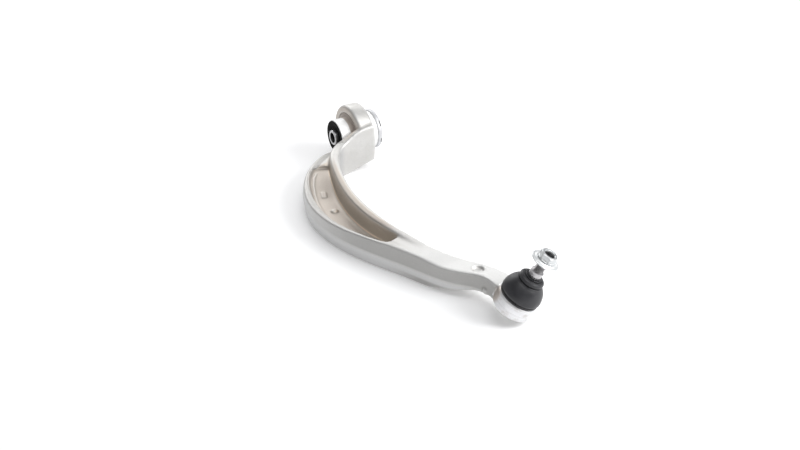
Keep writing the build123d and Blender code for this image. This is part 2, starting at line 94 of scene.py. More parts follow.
def shade(me, angle=35.0):
    me.polygons.foreach_set("use_smooth", [True] * len(me.polygons))
    bm = bmesh.new()
    bm.from_mesh(me)
    bmesh.ops.recalc_face_normals(bm, faces=bm.faces)
    limit = math.radians(angle)
    for e in bm.edges:
        e.smooth = not (len(e.link_faces) == 2 and e.calc_face_angle(0.0) > limit)
    bm.to_mesh(me)
    bm.free()


def spin(name, rows, where, segs=96, closed=True, angle=35.0):
    """Rows of (radius, height) in millimetres turned round an axis. A radius or a height may be a function of the angle."""
    origin, xd, yd, ad = where
    th = np.arange(segs) * 2 * math.pi / segs
    verts, index = [], []
    X, Y, A, O = (np.array(v, float) for v in (xd, yd, ad, origin))
    for r, h in rows:
        if not callable(r) and abs(r) < 1e-6:
            index.append([len(verts)])
            verts.append(O + A * (h if not callable(h) else float(np.mean(h(th)))))
            continue
        rr = r(th) if callable(r) else np.full(segs, float(r))
        hh = h(th) if callable(h) else np.full(segs, float(h))
        p = O + np.outer(rr * np.cos(th), X) + np.outer(rr * np.sin(th), Y) + np.outer(hh, A)
        index.append(list(range(len(verts), len(verts) + segs)))
        verts += list(p)
    faces = []
    pairs = list(zip(range(len(rows) - 1), range(1, len(rows))))
    if closed:
        pairs.append((len(rows) - 1, 0))
    for a, b in pairs:
        ia, ib = index[a], index[b]
        if len(ia) == 1 and len(ib) == 1:
            continue
        for k in range(segs):
            n = (k + 1) % segs
            if len(ia) == 1:
                faces.append((ia[0], ib[k], ib[n]))
            elif len(ib) == 1:
                faces.append((ia[k], ia[n], ib[0]))
            else:
                faces.append((ia[k], ia[n], ib[n], ib[k]))
    me = bpy.data.meshes.new(name)
    me.from_pydata([tuple(v * MM) for v in verts], [], faces)
    shade(me, angle)
    return link(bpy.data.objects.new(name, me))


def rounded(points, radius=0.4, n=4, closed=True):
    """Rounds the corners of a run of (r, h) points and adds holding points beside each corner."""
    out = []
    m = len(points)
    for i in range(m):
        p = np.array(points[i][:2], float)
        if not closed and i in (0, m - 1):
            out.append(tuple(p))
            continue
        a = np.array(points[i - 1][:2], float)
        b = np.array(points[(i + 1) % m][:2], float)
        rad = points[i][2] if len(points[i]) > 2 else radius
        la, lb = np.linalg.norm(a - p), np.linalg.norm(b - p)
        if la < 1e-9 or lb < 1e-9:
            out.append(tuple(p))
            continue
        ua, ub = (a - p) / la, (b - p) / lb
        cosang = float(np.clip(ua @ ub, -1, 1))
        ang = math.acos(cosang)
        if rad <= 0 or ang > math.radians(176):
            out.append(tuple(p))
            continue
        t = min(rad / math.tan(ang / 2), 0.42 * la, 0.42 * lb)
        s, e = p + ua * t, p + ub * t
        if la > 4 * t:
            out.append(tuple(p + ua * t * 1.35))
        for k in range(n + 1):
            f = k / n
            q = (1 - f) ** 2 * s + 2 * f * (1 - f) * p + f * f * e
            out.append(tuple(q))
        if lb > 4 * t:
            out.append(tuple(p + ub * t * 1.35))
    return out


def smooth01(x):
    x = np.clip(x, 0, 1)
    return x * x * (3 - 2 * x)


# ------------------------------------------------------------------ material helpers
def tree(name):
    m = bpy.data.materials.new(name)
    m.use_nodes = True
    nt = m.node_tree
    for n in list(nt.nodes):
        nt.nodes.remove(n)
    out = nt.nodes.new("ShaderNodeOutputMaterial")
    bsdf = nt.nodes.new("ShaderNodeBsdfPrincipled")
    nt.links.new(bsdf.outputs[0], out.inputs[0])
    return m, nt, bsdf


def noise(nt, scale, detail=4.0, rough=0.55, vector=None):
    n = nt.nodes.new("ShaderNodeTexNoise")
    n.inputs["Scale"].default_value = scale
    n.inputs["Detail"].default_value = detail
    n.inputs["Roughness"].default_value = rough
    if vector is None:
        tc = nt.nodes.new("ShaderNodeTexCoord")
        vector = tc.outputs["Object"]
    nt.links.new(vector, n.inputs["Vector"])
    return n.outputs["Fac"]


def stretched(nt, scale):
    """Object coordinates stretched by a scale on each axis."""
    tc = nt.nodes.new("ShaderNodeTexCoord")
    mp = nt.nodes.new("ShaderNodeMapping")
    mp.inputs["Scale"].default_value = scale
    nt.links.new(tc.outputs["Object"], mp.inputs["Vector"])
    return mp.outputs["Vector"]


def ramp(nt, fac, stops):
    r = nt.nodes.new("ShaderNodeValToRGB")
    el = r.color_ramp.elements
    while len(el) < len(stops):
        el.new(0.5)
    for e, (pos, col) in zip(el, stops):
        e.position = pos
        e.color = (*col, 1) if len(col) == 3 else col
    nt.links.new(fac, r.inputs["Fac"])
    return r.outputs["Color"]


def span(nt, fac, lo, hi, a=0.0, b=1.0):
    r = nt.nodes.new("ShaderNodeMapRange")
    r.inputs["From Min"].default_value = lo
    r.inputs["From Max"].default_value = hi
    r.inputs["To Min"].default_value = a
    r.inputs["To Max"].default_value = b
    nt.links.new(fac, r.inputs["Value"])
    return r.outputs["Result"]


def mix(nt, fac, a, b, how="MIX"):
    m = nt.nodes.new("ShaderNodeMix")
    m.data_type = "RGBA"
    m.blend_type = how
    for sock, val in ((m.inputs["Factor"], fac), (m.inputs["A"], a), (m.inputs["B"], b)):
        pass
    ins = {"f": m.inputs[0], "a": m.inputs[6], "b": m.inputs[7]}
    for key, val in (("f", fac), ("a", a), ("b", b)):
        if hasattr(val, "is_output"):
            nt.links.new(val, ins[key])
        elif key == "f":
            ins[key].default_value = val
        else:
            ins[key].default_value = (*val, 1)
    return m.outputs[2]


def math_node(nt, op, a, b=None):
    m = nt.nodes.new("ShaderNodeMath")
    m.operation = op
    for k, v in enumerate((a, b)):
        if v is None:
            continue
        if hasattr(v, "is_output"):
            nt.links.new(v, m.inputs[k])
        else:
            m.inputs[k].default_value = v
    return m.outputs[0]


def attribute(nt, name):
    a = nt.nodes.new("ShaderNodeAttribute")
    a.attribute_name = name
    return a.outputs["Fac"]


def axis_mm(nt):
    """Height along the stud's axis and distance from it, in millimetres."""
    tc = nt.nodes.new("ShaderNodeTexCoord")
    away = nt.nodes.new("ShaderNodeVectorMath")
    away.operation = "SUBTRACT"
    nt.links.new(tc.outputs["Object"], away.inputs[0])
    away.inputs[1].default_value = tuple(BC * MM)
    dot = nt.nodes.new("ShaderNodeVectorMath")
    dot.operation = "DOT_PRODUCT"
    nt.links.new(away.outputs["Vector"], dot.inputs[0])
    dot.inputs[1].default_value = tuple(AX * 1000)
    cross = nt.nodes.new("ShaderNodeVectorMath")
    cross.operation = "CROSS_PRODUCT"
    nt.links.new(away.outputs["Vector"], cross.inputs[0])
    cross.inputs[1].default_value = tuple(AX * 1000)
    length = nt.nodes.new("ShaderNodeVectorMath")
    length.operation = "LENGTH"
    nt.links.new(cross.outputs["Vector"], length.inputs[0])
    return dot.outputs["Value"], length.outputs["Value"]


def tinted(material, fac_of, colour):
    """Mixes a colour into a finished material where fac_of(tree) is one."""
    nt = material.node_tree
    bsdf = next(n for n in nt.nodes if n.type == "BSDF_PRINCIPLED")
    old = bsdf.inputs["Base Color"].links[0].from_socket
    nt.links.new(mix(nt, fac_of(nt), old, colour), bsdf.inputs["Base Color"])
    return material


def bump(nt, bsdf, height, distance, strength=1.0, under=None):
    b = nt.nodes.new("ShaderNodeBump")
    b.inputs["Strength"].default_value = strength
    b.inputs["Distance"].default_value = distance
    nt.links.new(height, b.inputs["Height"])
    if under is not None:
        nt.links.new(under, b.inputs["Normal"])
    nt.links.new(b.outputs["Normal"], bsdf.inputs["Normal"])
    return b.outputs["Normal"]


def metal(name, light, dark, rough=(0.3, 0.42), metallic=1.0, patch=60, grain=2400, bump_mm=0.02, brush=None):
    m, nt, bsdf = tree(name)
    bsdf.inputs["Metallic"].default_value = metallic
    broad = noise(nt, patch, 5, 0.6)
    nt.links.new(ramp(nt, broad, [(0.3, dark), (0.7, light)]), bsdf.inputs["Base Color"])
    fine = noise(nt, grain, 3, 0.6, stretched(nt, brush) if brush else None)
    nt.links.new(span(nt, fine, 0.3, 0.7, rough[0], rough[1]), bsdf.inputs["Roughness"])
    bump(nt, bsdf, fine, bump_mm * MM, 0.7)
    return m


def rubber(name, light, dark, rough=(0.38, 0.55), gloss=0.5, grain=1500, bump_mm=0.03):
    m, nt, bsdf = tree(name)
    broad = noise(nt, 90, 5, 0.62)
    nt.links.new(ramp(nt, broad, [(0.35, dark), (0.68, light)]), bsdf.inputs["Base Color"])
    fine = noise(nt, grain, 4, 0.6)
    nt.links.new(span(nt, broad, 0.3, 0.7, rough[0], rough[1]), bsdf.inputs["Roughness"])
    bsdf.inputs["Specular IOR Level"].default_value = gloss
    bump(nt, bsdf, fine, bump_mm * MM, 0.6)
    return m


def plastic(name, light, dark, rough=(0.4, 0.5)):
    m, nt, bsdf = tree(name)
    broad = noise(nt, 70, 4, 0.55)
    nt.links.new(ramp(nt, broad, [(0.35, dark), (0.68, light)]), bsdf.inputs["Base Color"])
    fine = noise(nt, 1800, 3, 0.5)
    nt.links.new(span(nt, fine, 0.3, 0.7, rough[0], rough[1]), bsdf.inputs["Roughness"])
    bump(nt, bsdf, fine, 0.01 * MM, 0.5)
    return m


# ------------------------------------------------------------------ arm: soft forged skin
OUTER = [(24.0, -12.0), (23.5, -23.0), (20.0, -29.0), (15.2, -34.0), (13.6, -40.0), (15.4, -48.0), (20.5, -57.5),
         (27.5, -67.0), (36.0, -76.5), (47.0, -86.3), (60.5, -95.8), (77.0, -105.0), (97.0, -112.8),
         (117.0, -117.6), (137.0, -119.3), (157.0, -118.6), (175.0, -115.8), (193.0, -111.2), (210.0, -105.2),
         (227.0, -98.2), (244.0, -90.4), (260.0, -83.0), (276.0, -76.2), (291.0, -70.0), (303.0, -64.3),
         (313.0, -57.8), (321.5, -50.6), (329.5, -44.4), (338.0, -40.6), (348.0, -39.2)]
CREST = [(22.0, 11.0), (22.0, -15.0), (22.0, -24.0), (24.0, -33.0), (29.0, -41.5), (36.5, -48.0), (48.0, -55.5), (62.0, -61.0),
         (80.0, -67.0), (100.0, -72.5), (122.0, -77.3), (142.0, -80.2), (160.0, -81.6), (180.0, -81.2), (200.0, -78.8),
         (222.0, -73.5), (240.0, -68.0)]
POCKET = [(41.0, -66.0), (46.0, -79.0), (57.0, -87.8), (71.0, -95.2), (87.0, -101.4), (103.0, -106.0), (120.0, -109.2),
          (138.0, -111.2), (157.0, -111.2), (175.0, -108.9), (193.0, -104.8), (208.0, -100.0), (219.0, -95.8),
          (229.0, -90.0), (236.0, -84.0), (236.0, -70.0)] + CREST[::-1][2:9] + [(38.0, -52.0)]


LIP = [(38.0, -52.0)] + POCKET[0:12]


def inside(poly, x, y):
    """Points inside a polygon, by crossing count."""
    res = np.zeros(len(x), bool)
    n = len(poly)
    for i in range(n):
        x0, y0 = poly[i]
        x1, y1 = poly[(i + 1) % n]
        hit = ((y0 > y) != (y1 > y)) & (x < (x1 - x0) * (y - y0) / (y1 - y0 + 1e-12) + x0)
        res ^= hit
    return res


def far_from(line, x, y):
    """Distance to a run of points."""
    best = np.full(len(x), 1e9)
    for (x0, y0), (x1, y1) in zip(line, line[1:]):
        dx, dy = x1 - x0, y1 - y0
        t = np.clip(((x - x0) * dx + (y - y0) * dy) / (dx * dx + dy * dy), 0, 1)
        best = np.minimum(best, np.hypot(x - x0 - t * dx, y - y0 - t * dy))
    return best


def shallow(x):
    """Share of the pocket's full depth at a distance along the arm."""
    return 1.0 - 0.62 * smooth01((108.0 - x) / 56.0)


def forged_skin():
    src = NODES["arm_forging"]
    me = src.data.copy()
    bm = bmesh.new()
    bm.from_mesh(me)
    bmesh.ops.remove_doubles(bm, verts=bm.verts, dist=2e-6)
    bm.to_mesh(me)
    bm.free()
    tmp = link(bpy.data.objects.new("arm_source", me))
    mod = tmp.modifiers.new("remesh", "REMESH")
    mod.mode = "VOXEL"
    mod.voxel_size = 0.0008
    mod.adaptivity = 0.0
    dg = bpy.context.evaluated_depsgraph_get()
    ev = tmp.evaluated_get(dg)
    new = bpy.data.meshes.new_from_object(ev)
    bpy.data.objects.remove(tmp)
    n = len(new.vertices)
    co = np.zeros(n * 3)
    new.vertices.foreach_get("co", co)
    co = co.reshape(-1, 3) * 1000
    quads = np.zeros(len(new.loops), int)
    new.loops.foreach_get("vertex_index", quads)
    quads = quads.reshape(-1, 4)
    ed = np.zeros(len(new.edges) * 2, int)
    new.edges.foreach_get("vertices", ed)
    ed = ed.reshape(-1, 2)
    deg = np.bincount(ed.ravel(), minlength=n).astype(float)

    def lap(c):
        s = np.empty_like(c)
        for k in range(3):
            s[:, k] = np.bincount(ed[:, 0], weights=c[ed[:, 1], k], minlength=n)
            s[:, k] += np.bincount(ed[:, 1], weights=c[ed[:, 0], k], minlength=n)
        return s / deg[:, None] - c

    def normals(c):
        fn = np.cross(c[quads[:, 2]] - c[quads[:, 0]], c[quads[:, 3]] - c[quads[:, 1]])
        vn = np.zeros_like(c)
        for k in range(3):
            for q in range(4):
                vn[:, k] += np.bincount(quads[:, q], weights=fn[:, k], minlength=n)
        return vn / np.maximum(np.linalg.norm(vn, axis=1), 1e-12)[:, None]

    A, B = np.array(AX), np.array(BC)

    def stud_coords(c):
        rel = c - B
        h = rel @ A
        return h, np.linalg.norm(rel - np.outer(h, A), axis=1)

    h, r = stud_coords(co)
    ry = np.hypot(co[:, 0], co[:, 2])
    hold = np.ones(n)
    hold[(r < 21.6) & (h > -16) & (h < 11)] = 0.22                 # machined housing
    hold[(ry < 28.5) & (co[:, 1] > -12) & (co[:, 1] < 14)] = 0.18   # bush bore
    for _ in range(6):
        co = co + lap(co) * (0.5 * hold)[:, None]
    for _ in range(46):
        L = lap(co)
        vn = normals(co)
        concave = (L * vn).sum(1) > 0
        w = np.where(concave, 0.55, 0.16) * hold
        co = co + L * w[:, None]
    # forged details
    x, y, z = co.T
    vn = normals(co)
    up_face = vn[:, 2] > 0.6
    for px, py, rad, high in ((130.0, -93.0, 3.9, 1.3), (93.0, -87.0, 0, 0)):
        if rad:
            d = np.hypot(x - px, y - py)
            m = up_face & (d < rad * 1.6) & (z < -12)
            co[m, 2] += high * smooth01((rad * 1.25 - d[m]) / (rad * 0.55))
    # plain oval pad on the pocket floor
    ca, sa = math.cos(math.radians(-20)), math.sin(math.radians(-20))
    u, v = (x - 93) * ca + (y + 87) * sa, -(x - 93) * sa + (y + 87) * ca
    d = np.maximum(np.abs(u) / 5.4, np.abs(v) / 2.9)
    m = up_face & (d < 1.4) & (z < -12)
    co[m, 2] += 0.7 * smooth01((1.12 - d[m]) / 0.2)
    # flash line where the dies met, on both sides
    side = np.clip(1.25 - np.abs(vn[:, 2]) * 1.6, 0, 1)
    d_out = far_from(OUTER, x, y)
    flash_out = np.exp(-(((z + 20.0) / 1.3) ** 2)) * (d_out < 9) * side
    inner = (d_out >= 14) & (x > 12) & (x < 352) & ((ry > 36) | (x > 33))
    flash_in = np.exp(-(((z + 4.0) / 1.1) ** 2)) * inner * side * smooth01((x - 20) / 20) * smooth01((330 - x) / 30)
    flash_in *= (vn[:, 1] > -0.2) * smooth01((x - 70) / 40)
    co += vn * (0.30 * flash_out + 0.20 * flash_in)[:, None]
    # small forged boss beside the housing
    boss = np.array([342.5, -40.2, -18.0])
    d = np.linalg.norm(co - boss, axis=1)
    co += vn * (1.5 * smooth01((5.2 - d) / 4.2))[:, None] * (vn[:, 1] < 0.2)[:, None]
    # the pocket grows shallow towards its end by the bush
    basin_in = inside(POCKET, x, y) & (z > -21) & (z < -9)
    co[basin_in, 2] = -9.0 + (z[basin_in] + 9.0) * shallow(x[basin_in])
    # second, lower lip that runs along the pocket's outer side
    d_lip = far_from(LIP, x, y)
    basin_in = inside(POCKET, x, y) & (z > -21)
    fade = smooth01((150 - x) / 80) * smooth01((x - 46) / 12)
    co[:, 2] += 1.0 * np.exp(-((d_lip - 6.0) / 1.3) ** 2) * basin_in * np.clip((vn[:, 2] - 0.3) / 0.4, 0, 1) * fade
    co[:, 2] -= 0.45 * np.exp(-((d_lip - 3.4) / 1.0) ** 2) * basin_in * np.clip((vn[:, 2] - 0.2) / 0.4, 0, 1) * fade
    # round dimple in the top of the tongue
    d = np.hypot(x - 321.5, y + 34.3)
    m = (vn[:, 2] > 0.3) & (d < 8) & (z > -16)
    co[m, 2] -= 1.5 * smooth01((6.5 - d[m]) / 1.9)
    L = lap(co)
    vn = normals(co)
    curve = -(L * vn).sum(1)
    for _ in range(3):
        s = np.bincount(ed[:, 0], weights=curve[ed[:, 1]], minlength=n) + np.bincount(ed[:, 1], weights=curve[ed[:, 0]], minlength=n)
        curve = 0.5 * curve + 0.5 * s / deg
    new.vertices.foreach_set("co", (co * MM).ravel())
    new.update()
    x, y, z = co.T
    h, r = stud_coords(co)
    machined = ((r < 21.4) & (h > -15.5) & (h < 2.2)).astype(float)
    mask = inside(POCKET, x, y)
    near_crest = far_from(CREST, x, y)
    # painted warm shade and bounce light: the pocket, the shaded outer face of the tall wall, the eye recess and the
    # crest's pocket-side band
    warm_shade = mask & (z < 6) & (z > -21)
    warm_shade = warm_shade | ((near_crest < 10) & (vn[:, 1] < -0.25) & (z > -21) & (x > 24) & (x < 240) & (y > -92) & (d_out > 5.5))
    warm_shade = warm_shade * np.clip(1.1 - np.where(z > -8, np.maximum(vn[:, 2], 0), 0) * 1.3, 0, 1)
    warm_shade = warm_shade * np.where(far_from(POCKET[1:14], x, y) < 3, 0.35, 1.0)
    warm_shade = np.maximum(warm_shade, 0.8 * ((ry < 33.5) & (co[:, 1] < -6) & (x < 33)) * smooth01((co[:, 1] + 32) / 12))
    warm_shade = np.maximum(warm_shade, smooth01((6.0 - near_crest) / 2.5) * (vn[:, 2] > 0.2) * (z > -14) * smooth01((x - 55) / 35) * smooth01((228 - x) / 25))
    for _ in range(4):
        s = np.bincount(ed[:, 0], weights=warm_shade[ed[:, 1]], minlength=n) + np.bincount(ed[:, 1], weights=warm_shade[ed[:, 0]], minlength=n)
        warm_shade = 0.5 * warm_shade + 0.5 * s / deg
    # painted warm shade on the housing where it meets the tongue
    tan = smooth01((11.0 - np.linalg.norm(co - np.array([364.5, -42.0, -7.0]), axis=1)) / 6.0)
    toward = smooth01((x - 95) / 125)
    # painted shade on the crest's pocket-side band
    brow_shade = smooth01((4.8 - near_crest) / 2.2) * np.clip((vn[:, 2] - 0.15) / 0.3, 0, 1) * (z > -9) * smooth01((x - 40) / 35) * smooth01((235 - x) / 30)
    band = side * (vn[:, 1] < 0.1) * smooth01((-36 - y + 0.12 * x) / 8)
    # painted shade on the outer wall's band above the parting line, towards the tongue
    upper_shade = (d_out < 12) * smooth01((z + 21.0) / 1.6) * smooth01((-1.5 - z) / 2.5) * band * toward
    # painted floor-bounce light on the outer wall's band below the parting line
    lower_bounce_light = (d_out < 14) * smooth01((-20.6 - z) / 1.2) * band * smooth01((345 - x) / 30)
    # painted shade along the tongue's lower edge, where its underside is in shade
    low_edge_shade = (d_out < 14) * smooth01((-25.5 - z) / 3.5) * band * smooth01((x - 235) / 50)
    upper_shade = np.maximum(upper_shade, 0.85 * low_edge_shade)
    lower_bounce_light = lower_bounce_light * (1 - low_edge_shade)
    # painted shade on the outer rim's top, strongest towards the bush end
    rim_shade = (d_out < 11) * np.clip(vn[:, 2] * (1 + 1.6 * smooth01((52 - x) / 14)), 0, 1) * (~mask) * smooth01((265 - x) / 60) * (y < -30) * (z > -14)
    # painted highlight along the concave foot of the tall wall in the pocket
    foot_highlight = np.exp(-((((z + 9.0) / shallow(x) + 8.0) / 0.6) ** 2)) * mask * (near_crest < 15) * (far_from(LIP, x, y) > 8) * smooth01((x - 44) / 12) * smooth01((222 - x) / 25)
    foot_highlight = foot_highlight * (vn[:, 2] > 0.3) * (vn[:, 2] < 0.985)
    # painted light on the tongue's top and on the outer wall at the bush end
    pale_lit = np.clip((vn[:, 2] - 0.5) / 0.3, 0, 1) * smooth01((x - 240) / 45) * (z > -14)
    pale_lit = np.maximum(pale_lit, 0.75 * side * (d_out < 12) * (1 - toward) * (y < -28) * (vn[:, 1] < 0.3) * (vn[:, 2] < 0.5))
    # painted shade on the inner faces turned towards +Y
    inward_shade = np.clip((vn[:, 1] - 0.35) / 0.3, 0, 1) * (d_out > 9) * smooth01((300 - x) / 60)
    # painted shade on the pocket floor
    basin_shade = mask * np.clip((vn[:, 2] - 0.55) / 0.3, 0, 1) * (z < -10) * (z > -21) * smooth01((250 - x) / 60)
    # the curvature attribute drives painted highlights on convex edges and painted shade in concave creases
    for name, values in (("warm_shade", warm_shade), ("upper_band_shade", upper_shade), ("lower_band_bounce_light", lower_bounce_light), ("foot_highlight", foot_highlight), ("rim_shade", rim_shade), ("basin_shade", basin_shade), ("pale_lit", pale_lit), ("inward_shade", inward_shade), ("tan", tan), ("brow_shade", brow_shade), ("machined", machined), ("edge_light_shade", np.clip(curve / 0.05, -1, 1) * 0.5 + 0.5),
                         ("flash", np.maximum(flash_out, flash_in)), ("stud_h", h), ("stud_r", r)):
        at = new.attributes.new(name, "FLOAT", "POINT")
        at.data.foreach_set("value", values.astype(np.float32))
    new.polygons.foreach_set("use_smooth", [True] * len(new.polygons))
    obj = link(bpy.data.objects.new("arm_skin", new))
    return obj


def forged_material():
    m, nt, bsdf = tree("forged_aluminium")
    bsdf.inputs["Metallic"].default_value = 0.72
    bsdf.inputs["Specular IOR Level"].default_value = 0.4
    broad = noise(nt, 38, 5, 0.6)
    cloud = noise(nt, 160, 5, 0.65)
    grain = noise(nt, 1900, 3, 0.6)
    base = ramp(nt, broad, [(0.3, (0.550, 0.542, 0.525)), (0.7, (0.610, 0.604, 0.590))])
    base = mix(nt, span(nt, cloud, 0.42, 0.68, 0.0, 0.35), base, (0.50, 0.49, 0.47))
    speck = noise(nt, 620, 4, 0.7)
    # painted shade on the outer rim's top
    base = mix(nt, span(nt, attribute(nt, "rim_shade"), 0.0, 1.0, 0.0, 0.9), base, (0.385, 0.376, 0.36))
    # painted shade on the outer wall's upper band and on the tongue's lower edge
    base = mix(nt, span(nt, attribute(nt, "upper_band_shade"), 0.0, 1.0, 0.0, 0.85), base, (0.40, 0.395, 0.385))
    # painted floor-bounce light on the outer wall's lower band
    base = mix(nt, span(nt, attribute(nt, "lower_band_bounce_light"), 0.0, 1.0, 0.0, 0.8), base, (0.66, 0.66, 0.66))
    # painted light on the tongue's top and the bush end's outer wall
    base = mix(nt, span(nt, attribute(nt, "pale_lit"), 0.0, 1.0, 0.0, 0.8), base, (0.68, 0.68, 0.672))
    # painted shade on the inner faces
    base = mix(nt, span(nt, attribute(nt, "inward_shade"), 0.0, 1.0, 0.0, 0.8), base, (0.50, 0.50, 0.50))
    # painted warm shade in the pocket, on the tall wall's shaded face, in the eye recess and on the crest band
    base = mix(nt, span(nt, attribute(nt, "warm_shade"), 0.0, 1.0, 0.0, 0.85), base, (0.56, 0.495, 0.425))
    # painted shade on the pocket floor
    base = mix(nt, span(nt, attribute(nt, "basin_shade"), 0.0, 1.0, 0.0, 0.9), base, (0.475, 0.432, 0.388))
    # painted highlight along the tall wall's foot in the pocket
    base = mix(nt, span(nt, attribute(nt, "foot_highlight"), 0.0, 1.0, 0.0, 0.9), base, (0.98, 0.80, 0.61))
    # painted highlight on convex edges, then painted shade in concave creases
    base = mix(nt, span(nt, attribute(nt, "edge_light_shade"), 0.56, 0.9, 0.0, 0.40), base, (0.76, 0.755, 0.74))
    base = mix(nt, span(nt, attribute(nt, "edge_light_shade"), 0.44, 0.1, 0.0, 0.25), base, (0.36, 0.33, 0.30))
    base = mix(nt, span(nt, attribute(nt, "flash"), 0.2, 0.9, 0.0, 0.4), base, (0.62, 0.62, 0.61))
    comb = nt.nodes.new("ShaderNodeCombineXYZ")
    nt.links.new(math_node(nt, "MULTIPLY", attribute(nt, "stud_h"), 5.5), comb.inputs[0])
    nt.links.new(math_node(nt, "MULTIPLY", attribute(nt, "stud_r"), 3.0), comb.inputs[1])
    lines = noise(nt, 1.0, 3, 0.7, comb.outputs[0])
    base = mix(nt, span(nt, speck, 0.42, 0.30, 0.0, 0.25), base, (0.36, 0.34, 0.32))
    base = mix(nt, span(nt, speck, 0.60, 0.72, 0.0, 0.25), base, (0.80, 0.79, 0.77))
    mach = attribute(nt, "machined")
    bright = ramp(nt, lines, [(0.35, (0.66, 0.66, 0.67)), (0.65, (0.88, 0.88, 0.89))])
    bright = mix(nt, span(nt, cloud, 0.5, 0.66, 0.0, 0.55), bright, (0.50, 0.475, 0.45))
    base = mix(nt, mach, base, bright)
    # painted warm shade on the housing beside the tongue
    base = mix(nt, span(nt, attribute(nt, "tan"), 0.0, 1.0, 0.0, 0.75), base, (0.47, 0.40, 0.34))
    # painted shade on the crest's pocket-side band
    base = mix(nt, span(nt, attribute(nt, "brow_shade"), 0.0, 1.0, 0.0, 0.75), base, (0.38, 0.345, 0.31))
    nt.links.new(base, bsdf.inputs["Base Color"])
    r_forge = span(nt, grain, 0.3, 0.7, 0.44, 0.56)
    r_mach = span(nt, lines, 0.3, 0.7, 0.32, 0.46)
    mr = nt.nodes.new("ShaderNodeMix")
    mr.data_type = "FLOAT"
    nt.links.new(mach, mr.inputs[0])
    nt.links.new(r_forge, mr.inputs[2])
    nt.links.new(r_mach, mr.inputs[3])
    nt.links.new(mr.outputs[0], bsdf.inputs["Roughness"])
    mh = nt.nodes.new("ShaderNodeMix")
    mh.data_type = "FLOAT"
    nt.links.new(mach, mh.inputs[0])
    nt.links.new(grain, mh.inputs[2])
    nt.links.new(lines, mh.inputs[3])
    first = bump(nt, bsdf, mh.outputs[0], 0.11 * MM, 0.8)
    bump(nt, bsdf, cloud, 0.30 * MM, 0.35, under=first)
    return m


arm = forged_skin()
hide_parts("arm_forging")
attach(arm, "arm")
arm.data.materials.clear()
arm.data.materials.append(forged_material())


def dress(obj, body, material, slot, *nodes):
    obj.data.materials.clear()
    obj.data.materials.append(material)
    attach(obj, body)
    if nodes:
        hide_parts(*nodes)
    return obj


# ------------------------------------------------------------------ materials of the fittings
can_mat = metal("turned_can", (0.95, 0.95, 0.94), (0.88, 0.88, 0.875), (0.42, 0.52), 0.15, 70, 1600, 0.012, (0.15, 6, 0.15))
sleeve_mat = metal("turned_steel", (0.66, 0.66, 0.665), (0.52, 0.52, 0.53), (0.24, 0.36), 1.0, 120, 1800, 0.015, (0.2, 5, 0.2))
flange_mat = metal("coated_flange", (0.66, 0.665, 0.68), (0.52, 0.525, 0.54), (0.42, 0.55), 0.5, 160, 1500, 0.015)
core_mat = metal("cast_core", (0.60, 0.60, 0.60), (0.48, 0.48, 0.48), (0.4, 0.5))
stud_mat = metal("ground_steel", (0.58, 0.57, 0.58), (0.40, 0.39, 0.40), (0.26, 0.38), 1.0, 150, 2600, 0.012)
zinc_mat = metal("bright_zinc", (0.80, 0.81, 0.81), (0.64, 0.66, 0.67), (0.30, 0.42), 0.55, 130, 1500, 0.02)
cap_mat = metal("plated_cap", (0.62, 0.62, 0.60), (0.5, 0.5, 0.48), (0.25, 0.38))
band_mat = rubber("dark_band", (0.016, 0.016, 0.018), (0.008, 0.008, 0.009), (0.25, 0.36))
ring_mat = metal("dark_spring_steel", (0.22, 0.22, 0.225), (0.12, 0.12, 0.125), (0.3, 0.42))
boot_mat = rubber("satin_rubber", (0.028, 0.028, 0.032), (0.017, 0.017, 0.020), (0.34, 0.48), grain=1300, bump_mm=0.035)
bush_rubber_mat = rubber("bush_rubber", (0.010, 0.009, 0.009), (0.005, 0.005, 0.005), (0.66, 0.78), 0.14)
seal_mat = rubber("seal_rubber", (0.045, 0.045, 0.045), (0.025, 0.025, 0.025))
inner_plastic = plastic("inner_plastic", (0.09, 0.09, 0.095), (0.055, 0.055, 0.06))
shell_mat = plastic("acetal", (0.84, 0.83, 0.79), (0.74, 0.73, 0.69))

# painted warm shade on the can's shoulder and on its part inside the eye
def shoulder_shade(nt):
    tc = nt.nodes.new("ShaderNodeTexCoord")
    sep = nt.nodes.new("ShaderNodeSeparateXYZ")
    nt.links.new(tc.outputs["Object"], sep.inputs[0])
    low_ = span(nt, sep.outputs["Y"], -0.0136, -0.0122, 0.0, 1.0)
    high = span(nt, sep.outputs["Y"], 0.009, 0.011, 1.0, 0.0)
    return math_node(nt, "MULTIPLY", math_node(nt, "MULTIPLY", low_, high), 0.92)


# painted shade: near black inside the sleeve's bore
def bolt_hole_shade(nt):
    tc = nt.nodes.new("ShaderNodeTexCoord")
    sep = nt.nodes.new("ShaderNodeSeparateXYZ")
    nt.links.new(tc.outputs["Object"], sep.inputs[0])
    xx = math_node(nt, "MULTIPLY", sep.outputs["X"], sep.outputs["X"])
    zz = math_node(nt, "MULTIPLY", sep.outputs["Z"], sep.outputs["Z"])
    return span(nt, math_node(nt, "SQRT", math_node(nt, "ADD", xx, zz)), 0.00635, 0.00618, 0.0, 0.9)


# painted shade inside the sleeve's bore
tinted(sleeve_mat, bolt_hole_shade, (0.035, 0.034, 0.033))
# painted warm shade on the can inside the eye's mouth
tinted(can_mat, shoulder_shade, (0.36, 0.30, 0.255))
# darker thread above the shoulder, partly painted shade under the washer
tinted(stud_mat, lambda nt: span(nt, axis_mm(nt)[0], 35.9, 36.6, 0.0, 0.5), (0.20, 0.19, 0.185))
# painted shade on the stud's end inside the nut
tinted(stud_mat, lambda nt: span(nt, axis_mm(nt)[0], 50.6, 51.4, 0.0, 0.65), (0.07, 0.07, 0.07))
nut_mat = metal("bright_zinc_nut", (0.70, 0.71, 0.71), (0.50, 0.52, 0.53), (0.28, 0.40), 0.8, 130, 1500, 0.02)
